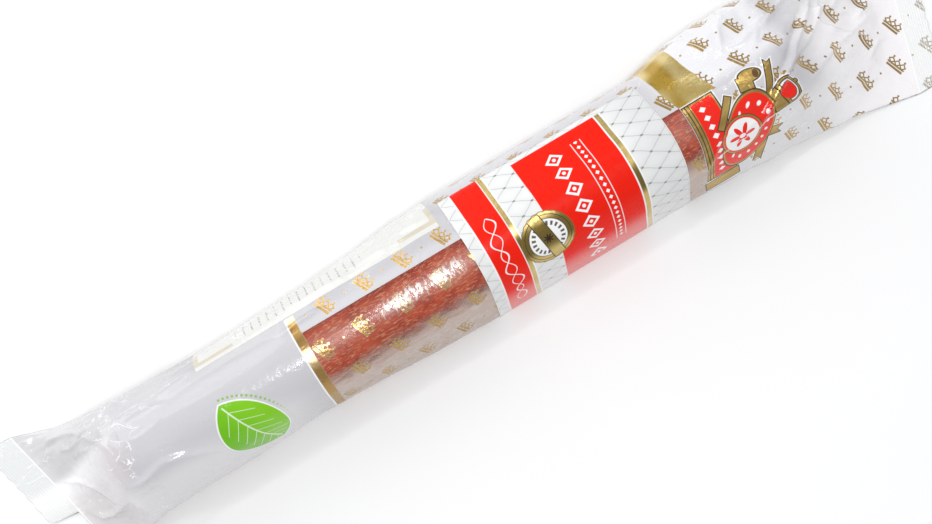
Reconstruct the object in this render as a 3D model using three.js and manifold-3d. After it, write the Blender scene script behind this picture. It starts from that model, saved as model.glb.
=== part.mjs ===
// A dry-cured sausage as it is sold: the clipped sausage lies in a printed
// flow-wrap film that is crimped flat at both ends, and a label is stuck round
// the outside. Millimetres; +X runs along the sausage and +Z is up. Everything
// is laid out from the middle of the sausage, with its axis at y = 0, and at
// the end the whole pack is shifted so that the origin is at the middle of its
// underside.

import * as THREE from "three";
import { mergeVertices } from "three/addons/utils/BufferGeometryUtils.js";
import Module from "manifold-3d";

// Sausage and clips
const sausageRadius = 21.3;
const bodyLength = 332;
const endDomeLength = 15;
const sausageSides = 36;
const neckRadius = 2.6;
const tailRadius = 5;
const tailLength = 6.5;
const clipLength = 4;
const clipWidth = 12;
const clipHeight = 9;
const clipRound = 3;
const clipBevel = 0.6;

// Gaps between touching pieces, and the sheets' thicknesses
const gap = 0.3;
const filmSlack = 0.5;
const filmThickness = 0.4;
const labelThickness = 0.3;

// Film: fin seam along the underside and the crimps at both ends
const finThickness = 2 * filmThickness;
const finWidth = 10.5;
const finRootY = 17;
const finStartX = -180;
const finEndX = 200;
const crimpLength = 13;
const crimpThickness = 2 * filmThickness + gap;
const leftCrimpX = -204;
const rightCrimpX = 252;
const leftCrimpSlant = -0.26;
const rightCrimpSlant = 0.36;
const leftSlantY = 19;
const flattenStartX = 164;
const flattenPower = 1.6;

// Film: key points of its section. Shares are of the front or back edge's y
const foldHeight = 6.5;
const shoulderRise = 10.7;
const shoulderShare = 0.76;
const restingAngles = [56, 80, 104, 130, 158];
const leavingDrop = 4;
const soleShares = [0.8, 0.3];
const soleBackY = 2.5;
const finSideY = 8;
const finBackShare = 0.62;
const samplesPerKey = 3;

// Film: it rises on to the label's underside over this length, this far outside
const rampLength = 6;
const rampClearance = 4;

// Label
const labelStartX = 9.3;
const labelLength = 103.1;

// Worked out from the sizes above
const filmLift = labelThickness + gap;
const axisHeight = filmLift + filmThickness + gap + sausageRadius;
const filmRadius = sausageRadius + filmSlack + filmThickness;
const finLift = finThickness + 2 * filmThickness - gap;
const bodyEndX = bodyLength / 2;
const labelEndX = labelStartX + labelLength;
const clipStartX = bodyEndX + gap;
const tailStartX = clipStartX + clipLength + gap;

// The folded edges of the film seen from above: x, front y, back y
const filmEdges = [
  [leftCrimpX, -38, 41],
  [-189, -30.5, 34.5],
  [-165, -25.4, 28.4],
  [-122, -25.6, 27.2],
  [-82, -24, 28.2],
  [-37, -26.3, 30.6],
  [labelStartX - rampClearance, -28.2, 35],
  [labelEndX + rampClearance, -28.2, 35],
  [143, -29.6, 41],
  [173, -32, 42],
  [208, -33.5, 43],
  [rightCrimpX, -40.5, 45.5],
];

// The places along the film where its section is worked out
const filmStations = [
  leftCrimpX - crimpLength, leftCrimpX, -200, -196, -192, -188, -183, -178,
  -173, -168, -163, -145, -122, -102, -82, -60, -37, -16,
  labelStartX - rampClearance - rampLength, labelStartX - rampClearance,
  labelEndX + rampClearance, labelEndX + rampClearance + rampLength,
  131, 143, 162, 169, 177, 187, 198, 209, 220, 231, 242,
  rightCrimpX, rightCrimpX + crimpLength,
];

const { lerp, clamp, smoothstep } = THREE.MathUtils;

// Straight interpolation in the list of folded edges; column 1 is the front
function filmEdge(x, column) {
  const last = filmEdges.length - 1;
  if (x <= filmEdges[0][0]) {
    return filmEdges[0][column];
  }
  if (x >= filmEdges[last][0]) {
    return filmEdges[last][column];
  }
  const i = filmEdges.findIndex((row) => row[0] > x);
  const part = (x - filmEdges[i - 1][0]) / (filmEdges[i][0] - filmEdges[i - 1][0]);
  return lerp(filmEdges[i - 1][column], filmEdges[i][column], part);
}

// How far the film has come down from the sausage (0) to the flat crimp (1)
function flatness(x) {
  const crimpX = x < 0 ? -leftCrimpX : rightCrimpX;
  const part = (Math.abs(x) - flattenStartX) / (crimpX - flattenStartX);
  return Math.sin((clamp(part, 0, 1) * Math.PI) / 2) ** flattenPower;
}

// The film lies on the table, but rests on the label where the label is below it
function filmFloor(x) {
  const start = labelStartX - rampClearance;
  const end = labelEndX + rampClearance;
  const rise = smoothstep(x, start - rampLength, start);
  const fall = smoothstep(x, end, end + rampLength);
  return filmLift * (rise - fall);
}

// The crimps don't lie square across the pack: x moves with y near the ends
function slantedX(x, y) {
  const left = clamp((x + bodyEndX) / (leftCrimpX + bodyEndX), 0, 1);
  const right = clamp((x - bodyEndX) / (rightCrimpX - bodyEndX), 0, 1);
  return x + leftCrimpSlant * left * (y - leftSlantY) + rightCrimpSlant * right * y;
}

// One closed section of the film, as [y, z] pairs. It starts at the folded back
// edge, goes over the top to the front edge and returns along the underside.
// A positive inset lies inside the film's outer face, a negative one outside.
function filmSection(x, inset) {
  const front = filmEdge(x, 1) + inset;
  const back = filmEdge(x, 2) - inset;
  const radius = filmRadius - inset;
  const floor = filmFloor(x) + inset;
  const onSausage = (degrees) => {
    const angle = THREE.MathUtils.degToRad(degrees);
    return [radius * Math.cos(angle), axisHeight + radius * Math.sin(angle)];
  };
  const round = [
    [back, foldHeight],
    [shoulderShare * back, axisHeight + shoulderRise - inset],
    ...restingAngles.map(onSausage),
    [(front - radius) / 2, axisHeight - leavingDrop],
    [front, foldHeight],
    ...soleShares.map((share) => [share * front, floor]),
    [soleBackY, floor],
    [finSideY, finLift + inset],
    [finBackShare * back, finLift + inset],
  ];
  const topKeys = restingAngles.length + 2;
  const underKeys = soleShares.length + 3;
  const flat = [[back, crimpThickness / 2]];
  for (let i = 1; i <= topKeys; i += 1) {
    flat.push([lerp(back, front, i / (topKeys + 1)), crimpThickness - inset]);
  }
  flat.push([front, crimpThickness / 2]);
  for (let i = 1; i <= underKeys; i += 1) {
    flat.push([lerp(front, back, i / (underKeys + 1)), inset]);
  }
  const k = flatness(x);
  const keys = round.map(([y, z], i) => {
    return new THREE.Vector3(0, lerp(y, flat[i][0], k), lerp(z, flat[i][1], k));
  });
  const curve = new THREE.CatmullRomCurve3(keys, true, "centripetal");
  const count = keys.length * samplesPerKey;
  const lowest = lerp(floor, inset, k);
  return Array.from({ length: count }, (_, i) => {
    const point = curve.getPoint(i / count);
    return [point.y, clamp(point.z, lowest, Infinity)];
  });
}

// Cyclic change of axes: a shape drawn in (y, z) and extruded along +X
function drawnAcross(geometry) {
  const toYZ = new THREE.Matrix4().makeBasis(
    new THREE.Vector3(0, 1, 0),
    new THREE.Vector3(0, 0, 1),
    new THREE.Vector3(1, 0, 0),
  );
  return geometry.applyMatrix4(toYZ);
}

function sausageGeometry() {
  const half = [];
  half.push([0, tailStartX + tailLength]);
  half.push([tailRadius * 0.7, tailStartX + tailLength]);
  half.push([tailRadius, tailStartX + tailLength * 0.75]);
  half.push([neckRadius * 1.3, tailStartX + 1]);
  half.push([neckRadius, tailStartX]);
  half.push([neckRadius, clipStartX - gap]);
  const domeSteps = 7;
  for (let i = 1; i <= domeSteps; i += 1) {
    const angle = ((i / domeSteps) * Math.PI) / 2;
    const x = bodyEndX - endDomeLength * (1 - Math.cos(angle));
    half.push([lerp(neckRadius, sausageRadius, Math.sin(angle)), x]);
  }
  const right = half.map(([radius, x]) => new THREE.Vector2(radius, x));
  const left = half.map(([radius, x]) => new THREE.Vector2(radius, -x));
  const profile = [...left, ...right.reverse()];
  const lathe = new THREE.LatheGeometry(profile, sausageSides);
  return lathe.applyMatrix4(new THREE.Matrix4().makeRotationZ(-Math.PI / 2));
}

function clipGeometry() {
  const width = clipWidth / 2 - clipBevel;
  const height = clipHeight / 2 - clipBevel;
  const outline = new THREE.Shape();
  outline.moveTo(-width + clipRound, -height);
  outline.lineTo(width - clipRound, -height);
  outline.absarc(width - clipRound, -height + clipRound, clipRound, -Math.PI / 2, 0);
  outline.absarc(width - clipRound, height - clipRound, clipRound, 0, Math.PI / 2);
  outline.absarc(-width + clipRound, height - clipRound, clipRound, Math.PI / 2, Math.PI);
  outline.absarc(-width + clipRound, -height + clipRound, clipRound, Math.PI, 1.5 * Math.PI);
  const neckHole = new THREE.Path();
  neckHole.absarc(0, 0, neckRadius + gap + clipBevel, 0, 2 * Math.PI, true);
  outline.holes.push(neckHole);
  const solid = new THREE.ExtrudeGeometry(outline, {
    depth: clipLength - 2 * clipBevel,
    bevelThickness: clipBevel,
    bevelSize: clipBevel,
    bevelSegments: 1,
    curveSegments: 5,
  });
  solid.translate(0, 0, clipBevel);
  return drawnAcross(solid);
}

// A tube wall between an outer and an inner skin, open at both crimps
function filmTubeGeometry() {
  const skin = (inset) => filmStations.map((x) => {
    return filmSection(x, inset).map(([y, z]) => [slantedX(x, y), y, z]);
  });
  const outer = skin(0);
  const inner = skin(filmThickness);
  const rows = outer.length;
  const columns = outer[0].length;
  const positions = [...outer.flat(), ...inner.flat()].flat();
  const at = (layer, row, column) => {
    return layer * rows * columns + row * columns + (column % columns);
  };
  const triangles = [];
  const quad = (a, b, c, d) => triangles.push(a, c, b, a, d, c);
  for (let c = 0; c < columns; c += 1) {
    for (let r = 0; r + 1 < rows; r += 1) {
      quad(at(0, r, c), at(0, r + 1, c), at(0, r + 1, c + 1), at(0, r, c + 1));
      quad(at(1, r, c), at(1, r, c + 1), at(1, r + 1, c + 1), at(1, r + 1, c));
    }
    quad(at(0, 0, c), at(0, 0, c + 1), at(1, 0, c + 1), at(1, 0, c));
    const end = rows - 1;
    quad(at(0, end, c), at(1, end, c), at(1, end, c + 1), at(0, end, c + 1));
  }
  const geometry = new THREE.BufferGeometry();
  geometry.setAttribute("position", new THREE.Float32BufferAttribute(positions, 3));
  geometry.setIndex(triangles);
  return geometry;
}

// The seam where the sheet's two long edges are welded: a double layer that is
// folded flat under the pack and joined to the film along its root
function filmFinGeometry() {
  const profile = new THREE.Shape();
  const rootTop = finLift + filmThickness / 2;
  profile.moveTo(finRootY - finWidth, 0);
  profile.lineTo(finRootY, 0);
  profile.lineTo(finRootY, rootTop);
  profile.lineTo(finRootY - finThickness, rootTop);
  profile.lineTo(finRootY - finThickness, finThickness);
  profile.lineTo(finRootY - finWidth, finThickness);
  profile.closePath();
  const solid = new THREE.ExtrudeGeometry(profile, {
    depth: finEndX - finStartX,
    bevelEnabled: false,
  });
  return drawnAcross(solid).translate(finStartX, 0, 0);
}

function toManifold(wasm, geometry) {
  geometry.deleteAttribute("normal");
  geometry.deleteAttribute("uv");
  const merged = mergeVertices(geometry);
  return new wasm.Manifold(new wasm.Mesh({
    numProp: 3,
    vertProperties: new Float32Array(merged.attributes.position.array),
    triVerts: new Uint32Array(merged.index.array),
  }));
}

async function filmGeometry() {
  const wasm = await Module();
  wasm.setup();
  const tube = toManifold(wasm, filmTubeGeometry());
  const whole = tube.add(toManifold(wasm, filmFinGeometry())).getMesh();
  const geometry = new THREE.BufferGeometry();
  geometry.setAttribute(
    "position",
    new THREE.Float32BufferAttribute(whole.vertProperties, 3),
  );
  geometry.setIndex(Array.from(whole.triVerts));
  geometry.computeVertexNormals();
  return geometry;
}

// The label starts on the film's back shoulder, goes over the top and down the
// front, and ends under the pack, short of the fin seam
function labelGeometry() {
  const shoulderKey = 1;
  const underKey = restingAngles.length + soleShares.length + 4;
  const band = (inset) => {
    const section = filmSection(labelStartX, inset);
    return section.slice(shoulderKey * samplesPerKey, underKey * samplesPerKey + 1);
  };
  const outer = band(-gap - labelThickness);
  const inner = band(-gap);
  const outline = [...outer, ...inner.reverse()];
  const shape = new THREE.Shape(outline.map(([y, z]) => new THREE.Vector2(y, z)));
  const solid = new THREE.ExtrudeGeometry(shape, {
    depth: labelLength,
    bevelEnabled: false,
  });
  return drawnAcross(solid).translate(labelStartX, 0, 0);
}

function named(name, geometry, material) {
  const mesh = new THREE.Mesh(geometry, new THREE.MeshStandardMaterial(material));
  mesh.name = name;
  return mesh;
}

const sausage = named("sausage", sausageGeometry(), {
  color: 0x9c4a3c,
  roughness: 0.5,
  metalness: 0,
});
sausage.position.z = axisHeight;

const clipFinish = { color: 0xc9cacc, roughness: 0.35, metalness: 1 };
const clipRight = named("clip_right", clipGeometry(), clipFinish);
clipRight.position.set(clipStartX, 0, axisHeight);
const clipLeft = named("clip_left", clipGeometry(), clipFinish);
clipLeft.position.set(-clipStartX - clipLength, 0, axisHeight);

const film = named("film_wrap", await filmGeometry(), {
  color: 0xe4e3ea,
  roughness: 0.25,
  metalness: 0,
});
const label = named("label", labelGeometry(), {
  color: 0xd8231a,
  roughness: 0.4,
  metalness: 0,
});

const pack = new THREE.Group();
pack.add(sausage, clipLeft, clipRight, film, label);
const extent = new THREE.Box3().setFromObject(pack);
const middle = extent.getCenter(new THREE.Vector3());
pack.position.set(-middle.x, -middle.y, -extent.min.z);

export default pack;
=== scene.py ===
# A clipped dry sausage in its printed flow-wrap film, with a label round it.
# The sections follow the pack as it is put together: the table it lies on,
# the sausage, its clips, the film, the label and the studio lights.
from math import cos, pi, radians, sin

import bpy
import numpy as np
from mathutils import Matrix, Vector


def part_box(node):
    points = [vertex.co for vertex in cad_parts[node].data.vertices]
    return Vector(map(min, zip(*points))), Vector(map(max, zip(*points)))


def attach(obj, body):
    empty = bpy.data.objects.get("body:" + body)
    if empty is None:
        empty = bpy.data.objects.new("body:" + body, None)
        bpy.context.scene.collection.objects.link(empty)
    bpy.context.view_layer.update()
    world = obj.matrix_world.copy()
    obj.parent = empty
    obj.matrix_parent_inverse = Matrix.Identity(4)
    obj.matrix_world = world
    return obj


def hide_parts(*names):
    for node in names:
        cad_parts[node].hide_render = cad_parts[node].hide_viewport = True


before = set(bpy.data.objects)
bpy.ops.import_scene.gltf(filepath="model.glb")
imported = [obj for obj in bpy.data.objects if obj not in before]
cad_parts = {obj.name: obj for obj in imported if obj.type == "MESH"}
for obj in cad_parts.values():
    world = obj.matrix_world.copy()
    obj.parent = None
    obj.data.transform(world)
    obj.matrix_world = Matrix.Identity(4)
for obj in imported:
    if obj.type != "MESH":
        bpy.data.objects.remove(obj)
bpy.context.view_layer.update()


# ---------------------------------------------------------------- The table
# The pack lies on a plain pale table top. It is seen from almost straight
# above, with its long side running up to the right.
MM = 0.001
sausage_low, sausage_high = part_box("sausage")
sausage_middle = (sausage_low + sausage_high) / 2
pack_heading = radians(31.25)
camera_lean = radians(10)
camera_distance = 571.5 * MM
aim = Vector((sausage_middle.x + 8 * MM, sausage_middle.y - 0.5 * MM, 20 * MM))
picture_up = Vector((sin(pack_heading), cos(pack_heading), 0))
upright = Vector((0, 0, 1))
looking = picture_up * sin(camera_lean) - upright * cos(camera_lean)
camera_top = picture_up * cos(camera_lean) + upright * sin(camera_lean)
camera_axes = (looking.cross(camera_top), camera_top, -looking)
camera_place = Matrix(camera_axes).transposed().to_4x4()
camera_place.translation = aim - looking * camera_distance
camera = bpy.data.objects.new("camera", bpy.data.cameras.new("camera"))
camera.data.lens = 49.06
camera.matrix_world = camera_place
bpy.context.collection.objects.link(camera)
bpy.context.scene.camera = camera
bpy.context.scene.view_settings.view_transform = "Standard"


def plug(value, socket):
    """Links a node output into a socket, or sets a plain value on it."""
    value = value.socket if isinstance(value, Field) else value
    if isinstance(value, bpy.types.NodeSocket):
        socket.id_data.links.new(value, socket)
    elif isinstance(value, tuple) and len(value) == 3 and socket.type == "RGBA":
        socket.default_value = (*value, 1)
    else:
        socket.default_value = value


def new_node(tree, kind, *values, **settings):
    """A node with its settings and its first inputs filled in."""
    node = tree.nodes.new(kind)
    for name, value in settings.items():
        setattr(node, name, value)
    for value, socket in zip(values, node.inputs):
        if value is not None:
            plug(value, socket)
    return node


def fill(node, **values):
    """Fills inputs by their names, with an underscore for each space."""
    for name, value in values.items():
        plug(value, node.inputs[name.replace("_", " ")])


class Field:
    """A number that varies over a surface, worked out by nodes.

    The sign & takes the lesser of two values and | takes the greater.
    """

    def __init__(self, socket):
        self.tree = socket.id_data
        self.socket = socket

    def math(self, operation, *others, clamped=False, swapped=False):
        values = (*others, self) if swapped else (self, *others)
        node = new_node(self.tree, "ShaderNodeMath", *values,
                        operation=operation, use_clamp=clamped)
        return Field(node.outputs[0])


def operator(operation, swapped):
    return lambda field, *others: field.math(operation, *others, swapped=swapped)


for sign, operation in (
    ("add", "ADD"), ("radd", "ADD"), ("mul", "MULTIPLY"), ("rmul", "MULTIPLY"),
    ("sub", "SUBTRACT"), ("rsub", "SUBTRACT"), ("truediv", "DIVIDE"),
    ("abs", "ABSOLUTE"), ("and", "MINIMUM"), ("or", "MAXIMUM"),
):
    setattr(Field, f"__{sign}__", operator(operation, sign == "rsub"))


def between(value, low, high, to_low=0.0, to_high=1.0):
    """Maps a range of values smoothly on to another."""
    node = new_node(value.tree, "ShaderNodeMapRange", value, low, high, to_low, to_high,
                    interpolation_type="SMOOTHSTEP")
    return Field(node.outputs[0])


def mixed(amount, first, second):
    """The first colour where amount is 0, the second where it is 1."""
    node = new_node(amount.tree, "ShaderNodeMix", amount, *[None] * 5, first, second,
                    data_type="RGBA")
    return node.outputs[2]


def stretched(coordinates, scale, turn=0.0):
    node = new_node(coordinates.id_data, "ShaderNodeMapping", coordinates)
    fill(node, Rotation=(0, 0, turn), Scale=scale)
    return node.outputs[0]


def noise(coordinates, scale, detail=2.0, roughness=0.5, twist=0.0):
    node = new_node(coordinates.id_data, "ShaderNodeTexNoise", coordinates)
    fill(node, Scale=scale, Detail=detail, Roughness=roughness, Distortion=twist)
    return Field(node.outputs[0])


def bumped(shader, height, distance):
    """Feeds a height into a shader's normal; distance is the height of 1."""
    node = new_node(shader.id_data, "ShaderNodeBump")
    fill(node, Height=height, Distance=distance)
    fill(shader, Normal=node.outputs[0])
    return node.outputs[0]


def new_material(name):
    material = bpy.data.materials.new(name)
    material.use_nodes = True
    tree = material.node_tree
    return material, tree, tree.nodes["Principled BSDF"]


def place_of(tree):
    return new_node(tree, "ShaderNodeTexCoord").outputs["Object"]


table_half = 1.5
table_mesh = bpy.data.meshes.new("table_top")
table_mesh.from_pydata(
    [(-table_half, -table_half, 0), (table_half, -table_half, 0),
     (table_half, table_half, 0), (-table_half, table_half, 0)],
    [], [(0, 1, 2, 3)],
)
table = bpy.data.objects.new("table_top", table_mesh)
bpy.context.collection.objects.link(table)
table_paint, tree, shader = new_material("table_paint")
table_mottle = noise(place_of(tree), 9.0, 3.0)
table_colour = mixed(table_mottle, (0.90, 0.90, 0.90), (0.93, 0.93, 0.93))
fill(shader, Base_Color=table_colour, Roughness=0.8)
table_mesh.materials.append(table_paint)


# -------------------------------------------------------------- The sausage
# Coarse cured meat in a thin casing that has shrunk on to it in fine wrinkles
# along the length. The casing is gathered in pleats at each end, pinched by a
# clip, and ends in a short frilled tail.
clip_low, clip_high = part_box("clip_right")
body_end = (clip_low.x - sausage_middle.x) / MM - 0.3
tail_start = (clip_high.x - sausage_middle.x) / MM + 0.3
tail_end = (sausage_high.x - sausage_middle.x) / MM - 0.2
body_radius = (sausage_high.z - sausage_low.z) / 2 / MM - 0.2
axis_height = sausage_middle.z / MM
neck_radius = 2.5
tail_radius = 4.7
dome_length = 16
sausage_columns = 168
pleat_count = 19


def at_place(x, y, z):
    """Points in metres from millimetres along, across and above the table."""
    return np.stack([
        sausage_middle.x + x * MM, sausage_middle.y + y * MM, z * MM,
    ], axis=-1)


def wrapped_faces(rows, columns):
    """Quads of a grid whose rows are closed loops, facing outwards."""
    index = np.arange(rows * columns).reshape(rows, columns)
    after = np.roll(index, -1, axis=1)
    quads = np.stack([index[:-1], after[:-1], after[1:], index[1:]], axis=-1)
    return quads.reshape(-1, 4).tolist()


def capped_faces(rows, columns):
    """The same grid with a flat face over each of its open ends."""
    last = columns * (rows - 1)
    ends = [list(range(columns))[::-1], list(range(last, last + columns))]
    return wrapped_faces(rows, columns) + ends


def mesh_object(name, points, faces):
    mesh = bpy.data.meshes.new(name)
    mesh.from_pydata(points.reshape(-1, 3).tolist(), [], faces)
    mesh.polygons.foreach_set("use_smooth", [True] * len(mesh.polygons))
    made = bpy.data.objects.new(name, mesh)
    bpy.context.collection.objects.link(made)
    return made


def sausage_outline(x):
    """The radius of the smooth sausage at a distance from its middle."""
    x = np.abs(x)
    dome = np.clip((x - body_end + dome_length) / dome_length, 0, 1)
    body = neck_radius + (body_radius - neck_radius) * np.sqrt(1 - dome ** 2.3)
    flare = np.clip((x - tail_start) / (tail_end - tail_start), 0, 1)
    tail = neck_radius + (tail_radius - neck_radius) * np.sin(flare * 0.62 * pi) ** 1.3
    return np.where(x > body_end, tail, body)


along_half = np.concatenate([
    np.linspace(0, body_end - dome_length, 170)[1:],
    body_end - dome_length * np.cos(np.linspace(0, pi / 2, 30))[1:],
    np.linspace(body_end, tail_end, 30)[1:],
])
along = np.concatenate([-along_half[::-1], [0], along_half])
around = np.linspace(0, 2 * pi, sausage_columns, endpoint=False)
sausage_x, sausage_angle = np.meshgrid(along, around, indexing="ij")
gathered = np.clip((np.abs(sausage_x) - body_end + 26) / 22, 0, 1) ** 1.5
frilled = np.clip((np.abs(sausage_x) - tail_start) / 2.5, 0, 1)
pleats = np.sin(sausage_angle * pleat_count + 0.8 * np.sin(sausage_angle * 3))
squeezed = np.abs(sausage_x) < body_end - 0.5
swell = 0.25 * np.sin(sausage_x / 31 + 1.3) * np.sin(sausage_angle + 0.7)
swell += 0.15 * np.sin(sausage_x / 17 + 2 * np.sin(sausage_angle))
sausage_r = sausage_outline(sausage_x) + swell * (1 - gathered) * squeezed
sausage_r *= 1 + pleats * (0.035 * gathered * squeezed + 0.13 * frilled)
sausage_r = np.minimum(sausage_r, body_radius)
sausage_points = at_place(
    sausage_x,
    sausage_r * np.cos(sausage_angle),
    axis_height + sausage_r * np.sin(sausage_angle),
)
sausage_faces = capped_faces(len(along), sausage_columns)
sausage = mesh_object("sausage_in_casing", sausage_points, sausage_faces)

meat, tree, shader = new_material("meat_in_casing")
place = place_of(tree)
grain = stretched(place, (0.45, 1, 1))
coarse = noise(grain, 300, 3, 0.6, 0.4)
fine = noise(grain, 900, 3, 0.65)
cloudy = noise(place, 60, 2)
streaky = stretched(place, (0.24, 1, 1))
fat_cells = new_node(tree, "ShaderNodeTexVoronoi", streaky, feature="SMOOTH_F1")
fill(fat_cells, Scale=1250, Smoothness=0.3)
fat_speck = between(Field(fat_cells.outputs["Distance"]) + coarse * 0.6, 0.66, 0.46)
streak = noise(streaky, 1300, 2, 0.5, 0.5)
fat_speck = fat_speck * between(fine, 0.3, 0.55) | between(streak, 0.55, 0.63)
lean = mixed(between(coarse, 0.35, 0.65), (0.45, 0.028, 0.005), (0.68, 0.088, 0.018))
lean = mixed(between(cloudy, 0.3, 0.7, 0, 0.45), lean, (0.72, 0.15, 0.045))
fat = mixed(between(fine, 0.35, 0.65), (0.76, 0.26, 0.10), (0.88, 0.50, 0.30))
marbled = mixed(fat_speck * between(cloudy, 0.25, 0.6, 0.45, 0.9), lean, fat)
fill(shader, Base_Color=marbled, Roughness=between(fine, 0.3, 0.7, 0.34, 0.5),
     Subsurface_Weight=0.12, Subsurface_Radius=(0.004, 0.0015, 0.001),
     Specular_IOR_Level=0.25, Coat_Weight=0.08, Coat_Roughness=0.25)
casing_lines = noise(stretched(place, (0.12, 1, 1)), 900, 2)
bumped(shader, casing_lines * 0.6 + fine * 0.4, 0.25 * MM)


def new_shape_tree(name, *sizes):
    """A Geometry Nodes tree that takes a mesh, a material and named sizes."""
    tree = bpy.data.node_groups.new(name, "GeometryNodeTree")
    side = tree.interface.new_socket
    side("Geometry", in_out="INPUT", socket_type="NodeSocketGeometry")
    for size in sizes:
        side(size, in_out="INPUT", socket_type="NodeSocketFloat")
    side("Material", in_out="INPUT", socket_type="NodeSocketMaterial")
    side("Geometry", in_out="OUTPUT", socket_type="NodeSocketGeometry")
    given = new_node(tree, "NodeGroupInput").outputs
    return tree, given, [Field(given[size]) for size in sizes]


def shape_noise(scale, detail, squash):
    """Noise from -1 to 1, drawn out along an axis by a squash below 1."""
    position = new_node(scale.tree, "GeometryNodeInputPosition").outputs[0]
    spread = new_node(scale.tree, "ShaderNodeVectorMath", position, squash, operation="MULTIPLY")
    return noise(spread.outputs[0], scale, detail).math("MULTIPLY_ADD", 2.0, -1.0)


def pushed_out(geometry, depth):
    """Moves every point along its normal."""
    tree = geometry.id_data
    normal = new_node(tree, "GeometryNodeInputNormal").outputs[0]
    offset = new_node(tree, "ShaderNodeVectorMath", normal, operation="SCALE")
    fill(offset, Scale=depth)
    moved = new_node(tree, "GeometryNodeSetPosition", geometry)
    fill(moved, Offset=offset.outputs[0])
    return moved.outputs[0]


def finish_shape(geometry, material):
    tree = geometry.id_data
    realized = new_node(tree, "GeometryNodeRealizeInstances", geometry).outputs[0]
    painted = new_node(tree, "GeometryNodeSetMaterial", realized)
    fill(painted, Material=material)
    new_node(tree, "NodeGroupOutput", painted.outputs[0])


def shaped(piece, tree, **values):
    """Runs a shape tree on a piece and leaves the result as its plain mesh."""
    modifier = piece.modifiers.new(tree.name, "NODES")
    modifier.node_group = tree
    for item in tree.interface.items_tree:
        name = item.name.replace(" ", "_")
        if item.in_out == "INPUT" and name in values:
            modifier[item.identifier] = values[name]
    depsgraph = bpy.context.evaluated_depsgraph_get()
    result = bpy.data.meshes.new_from_object(
        piece.evaluated_get(depsgraph), preserve_all_data_layers=True, depsgraph=depsgraph,
    )
    piece.modifiers.remove(modifier)
    result.name = piece.name
    piece.data = result


casing_tree, given, (wrinkle_depth, wrinkle_scale) = new_shape_tree(
    "casing_wrinkles", "Wrinkle depth", "Wrinkle scale",
)
folds = shape_noise(wrinkle_scale, 3.0, (0.22, 1, 1))
wrinkled = pushed_out(given["Geometry"], (folds - 1.0) * wrinkle_depth)
finish_shape(wrinkled, given["Material"])
shaped(sausage, casing_tree, Wrinkle_depth=0.16 * MM, Wrinkle_scale=330.0, Material=meat)
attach(sausage, "root")
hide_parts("sausage")


# ----------------------------------------------------------------- The clips
# Each end of the casing is pinched by a pressed aluminium clip. The clips come
# from the fixed frame as they are and get a brushed, slightly scuffed finish.
scuffs = bpy.data.node_groups.new("handling_scuffs", "ShaderNodeTree")
for name, side, kind in (
    ("Vector", "INPUT", "NodeSocketVector"), ("Scale", "INPUT", "NodeSocketFloat"),
    ("Height", "OUTPUT", "NodeSocketFloat"), ("Dullness", "OUTPUT", "NodeSocketFloat"),
):
    scuffs.interface.new_socket(name, in_out=side, socket_type=kind)
scuffed_place, scuff_scale = new_node(scuffs, "NodeGroupInput").outputs[:2]
dents = noise(scuffed_place, scuff_scale, 3, 0.55, 0.6)
rubbed = noise(scuffed_place, Field(scuff_scale) * 2.7, 4, 0.7)
crinkle = 1 - abs(dents * 2 - 1)
fill(new_node(scuffs, "NodeGroupOutput"),
     Height=crinkle * 0.5 + dents, Dullness=between(rubbed, 0.35, 0.75))


def scuffed(coordinates, scale):
    """The height and the dullness that handling leaves on a surface."""
    node = new_node(tree, "ShaderNodeGroup", node_tree=scuffs)
    fill(node, Vector=coordinates, Scale=scale)
    return Field(node.outputs["Height"]), Field(node.outputs["Dullness"])


clip_metal, tree, shader = new_material("pressed_aluminium")
place = place_of(tree)
brushing = noise(stretched(place, (9, 1, 1)), 500, 2)
scuff_height, dullness = scuffed(place, 220)
brushed = mixed(brushing, (0.56, 0.57, 0.58), (0.78, 0.78, 0.79))
fill(shader, Base_Color=brushed, Metallic=1.0, Roughness=0.24 + dullness * 0.25)
bumped(shader, scuff_height * 0.6 + brushing * 0.4, 0.1 * MM)
for clip_name in ("clip_left", "clip_right"):
    clip_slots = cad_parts[clip_name].data.materials
    clip_slots.clear()
    clip_slots.append(clip_metal)


# ------------------------------------------------------------------ The film
# One printed sheet wrapped round the sausage. Its long edges are welded to a
# fin that lies under the pack, and both ends are crimped flat between ribbed
# jaws and cut with a serrated knife. The sheet is slack, so it is creased.
film_inset = 0.2
film_radius = 22.2
shoulder_share = 0.76
shoulder_rise = 10.7
fold_height = 6.5
resting_angles = np.radians([56, 80, 104, 130, 158])
crimp_top = 0.62
crimp_under = 0.12
crimp_length = 13
crimp_left = -204
crimp_right = 252
left_slant = -0.26
right_slant = 0.36
left_pivot = 19
flat_from = 164
end_x = body_end - 0.3
fin_under = 1.3
fin_root = 17
fin_width = 10.5
fin_thickness = 0.8
fin_left = -180
fin_right = 200
label_start = 9.3
label_width = 103.1
label_end = label_start + label_width
label_room = 0.6
top_columns = 120
under_columns = 56
samples = 24
# The folded edges of the film seen from above: x, front y, back y
film_edges = np.array([
    (-204, -38, 41), (-189, -30.5, 34.5), (-165, -25.4, 28.4), (-122, -25.6, 27.2),
    (-82, -24, 28.2), (-37, -26.3, 30.6), (5.3, -28.2, 35), (116.4, -28.2, 35),
    (143, -29.6, 41), (173, -32, 42), (208, -33.5, 43), (252, -40.5, 45.5),
])


def smooth(value, low, high):
    part = np.clip((value - low) / (high - low), 0, 1)
    return part * part * (3 - 2 * part)


def ellipse(x, y, middle_x, middle_y, length, width, turn):
    """How far a point is from an oval patch's middle; 1 is its rim."""
    across, up = x - middle_x, y - middle_y
    along_it = (across * cos(turn) + up * sin(turn)) / length
    over_it = (up * cos(turn) - across * sin(turn)) / width
    return np.hypot(along_it, over_it)


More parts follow.
